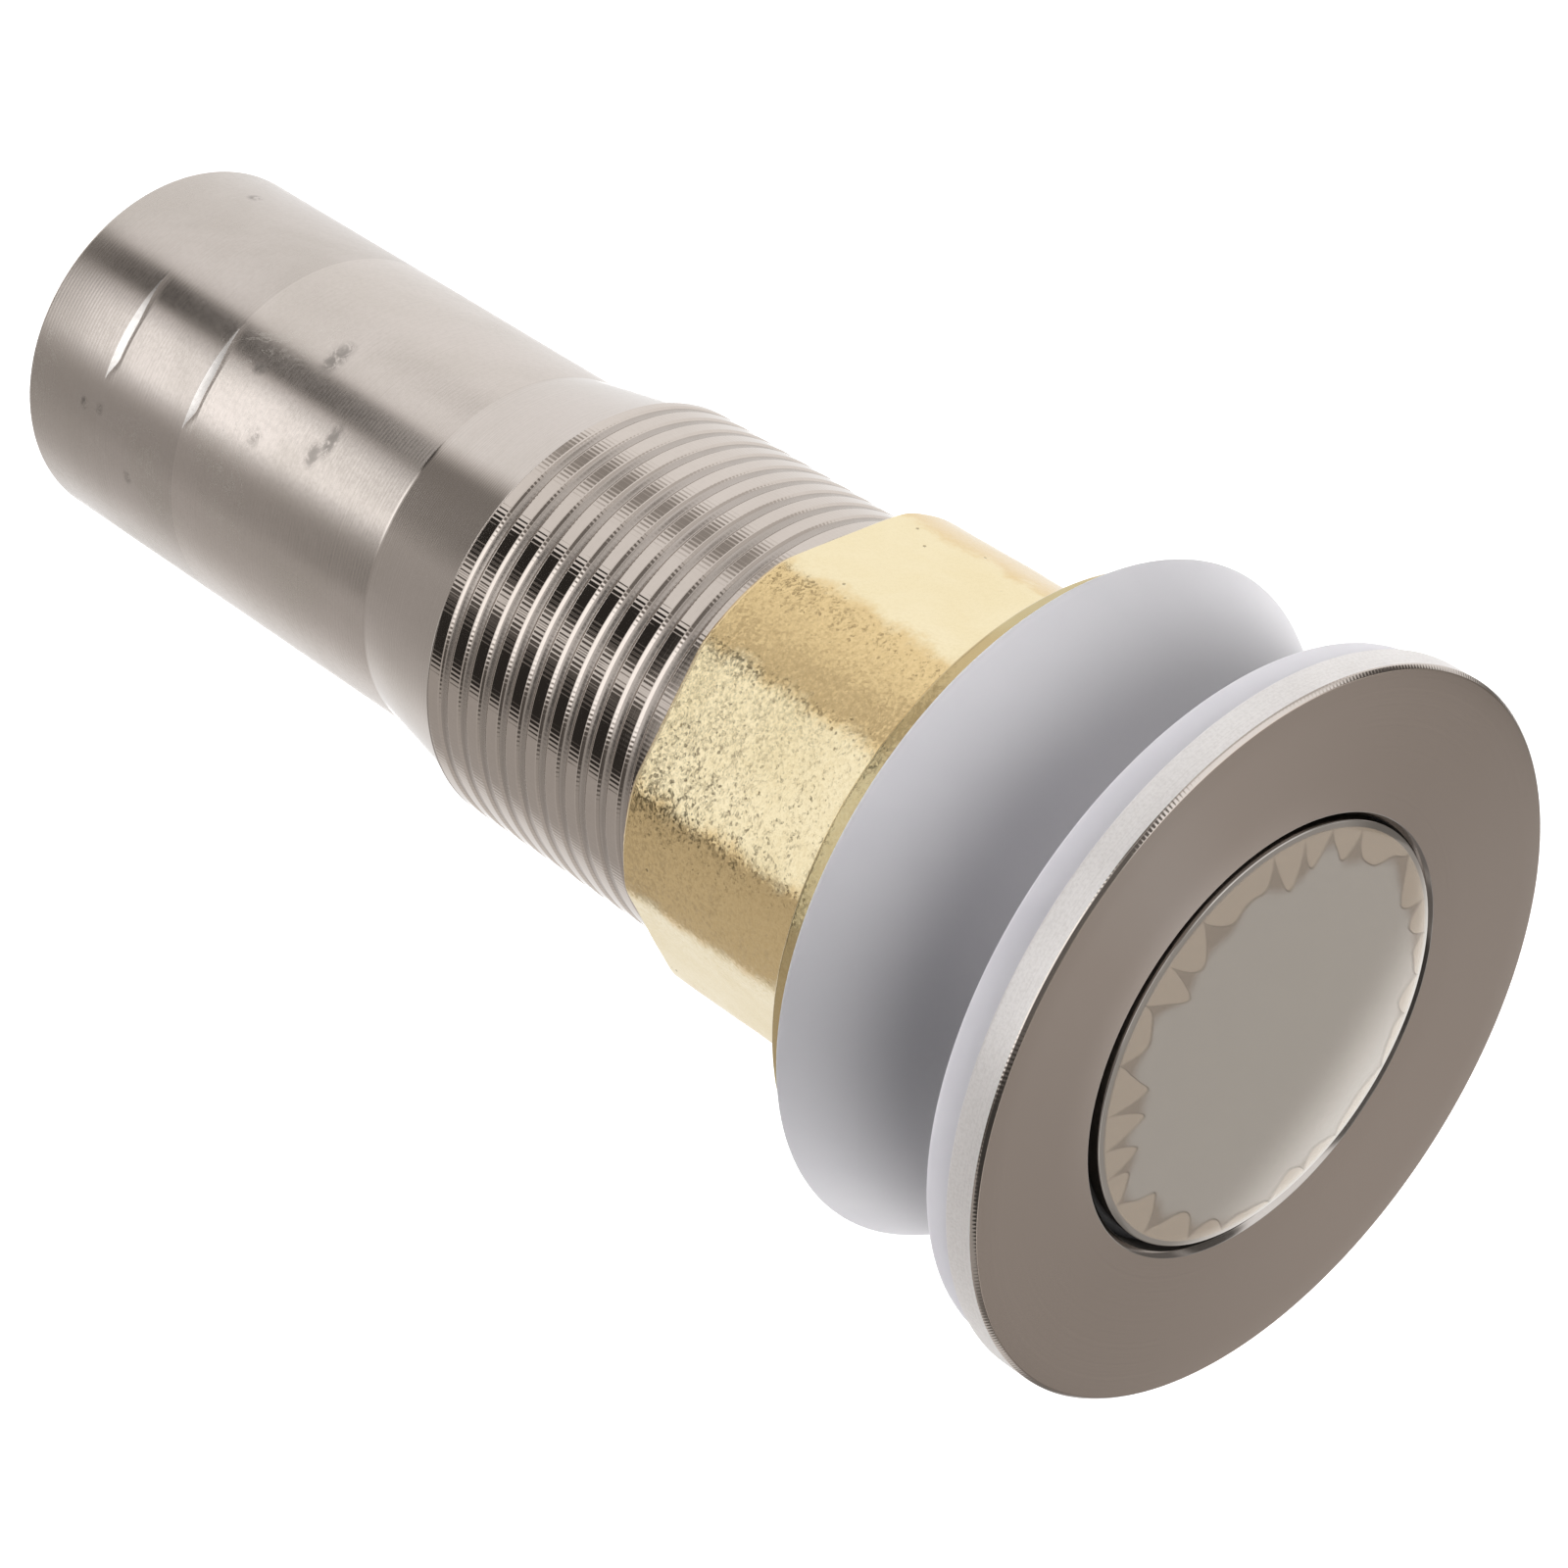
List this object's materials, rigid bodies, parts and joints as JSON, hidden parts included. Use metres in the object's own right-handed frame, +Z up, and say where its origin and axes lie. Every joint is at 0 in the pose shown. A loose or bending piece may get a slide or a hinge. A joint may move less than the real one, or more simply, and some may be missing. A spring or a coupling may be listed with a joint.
{
  "type": "basin waste drain",
  "caption": "Push-button basin waste with a flanged threaded tube, a sprung click plug, a soft gasket, a cone washer and a flanged brass nut.",
  "frame": {"origin": "on the tube's axis, in the plane where the flange gasket meets the basin", "axes": "+Z up out of the basin along the tube's axis; -Y faces the middle of one flat of the brass nut, less 11 degrees"},
  "size_m": [0.0588, 0.0588, 0.1285],
  "materials": {
    "nickel_tube": "fine turned lines, satin nickel",
    "white_silicone": "matt white silicone",
    "cast_brass": "sand cast, bright",
    "polished_cap": "polished nickel",
    "clear_film": "thin clear film",
    "turned_brass": "turned",
    "black_rubber": "matt",
    "bright_steel": "bright",
    "white_acetal": "moulded"
  },
  "bodies": {
    "root": {"drain_body": "nickel_tube", "flange_gasket": "white_silicone", "cross_bar": "turned_brass", "core_barrel": "white_acetal", "core_base": "turned_brass", "stem_guide": "turned_brass", "stem_wiper": "black_rubber", "spring_seat": "bright_steel", "core_spring": "bright_steel", "core_lock_washer": "bright_steel", "core_lock_nut": "turned_brass"},
    "plug": {"plug_cap": "polished_cap", "protective_film": "clear_film", "plug_hub": "turned_brass", "plug_seal": "black_rubber", "plug_stem": "bright_steel", "stem_jam_nut": "bright_steel", "rotor_clip": "bright_steel", "thrust_washer": "bright_steel"},
    "rotor": {"cam_rotor": "white_acetal"},
    "washer": {"cone_washer": "white_silicone"},
    "nut": {"flange_nut": "cast_brass"}
  },
  "joints": [
    {"name": "plug_slide", "type": "slide", "parent": "root", "child": "plug", "axis": [0, 0, 1], "range_m": [-0.001, 0.008], "deforming": ["core_spring"]},
    {"name": "rotor_index", "type": "hinge", "parent": "plug", "child": "rotor", "pos_m": [0, 0, -0.0226], "axis": [0, 0, 1], "range_deg": [0, 120]},
    {"name": "washer_slide", "type": "slide", "parent": "root", "child": "washer", "axis": [0, 0, 1], "range_m": [-0.024, 0.002]},
    {"name": "nut_turn", "type": "hinge", "parent": "washer", "child": "nut", "pos_m": [0, 0, -0.03], "axis": [0, 0, 1], "range_deg": [-3740, 310]}
  ],
  "couplings": [
    {"joint": "washer_slide", "follows": "nut_turn", "m_per_rad": 0.00036751}
  ]
}
